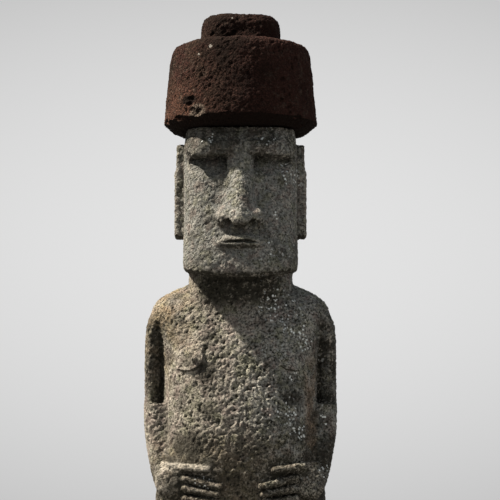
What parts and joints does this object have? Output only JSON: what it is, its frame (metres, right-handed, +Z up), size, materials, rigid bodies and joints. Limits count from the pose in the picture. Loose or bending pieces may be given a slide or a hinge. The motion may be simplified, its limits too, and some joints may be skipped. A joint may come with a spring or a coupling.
{
  "type": "moai statue",
  "caption": "Standing moai of grey volcanic tuff with long ears, arms at its sides and hands on its belly, a red scoria topknot on its head, on a low slab of rough stone.",
  "frame": {"origin": "middle of the slab's underside, on the ground", "axes": "+Z up, the figure faces -Y, and its own left hand is at +X"},
  "size_m": [2.16, 1.6, 5.5106],
  "materials": {
    "slab_stone": "rough, weathered basalt",
    "tuff": "deeply pitted, weathered volcanic tuff with lichen",
    "red_scoria": "coarse, weathered red scoria with lichen"
  },
  "bodies": {
    "root": {"base_slab": "slab_stone", "moai_figure": "tuff", "pukao_topknot": "red_scoria"}
  },
  "joints": []
}
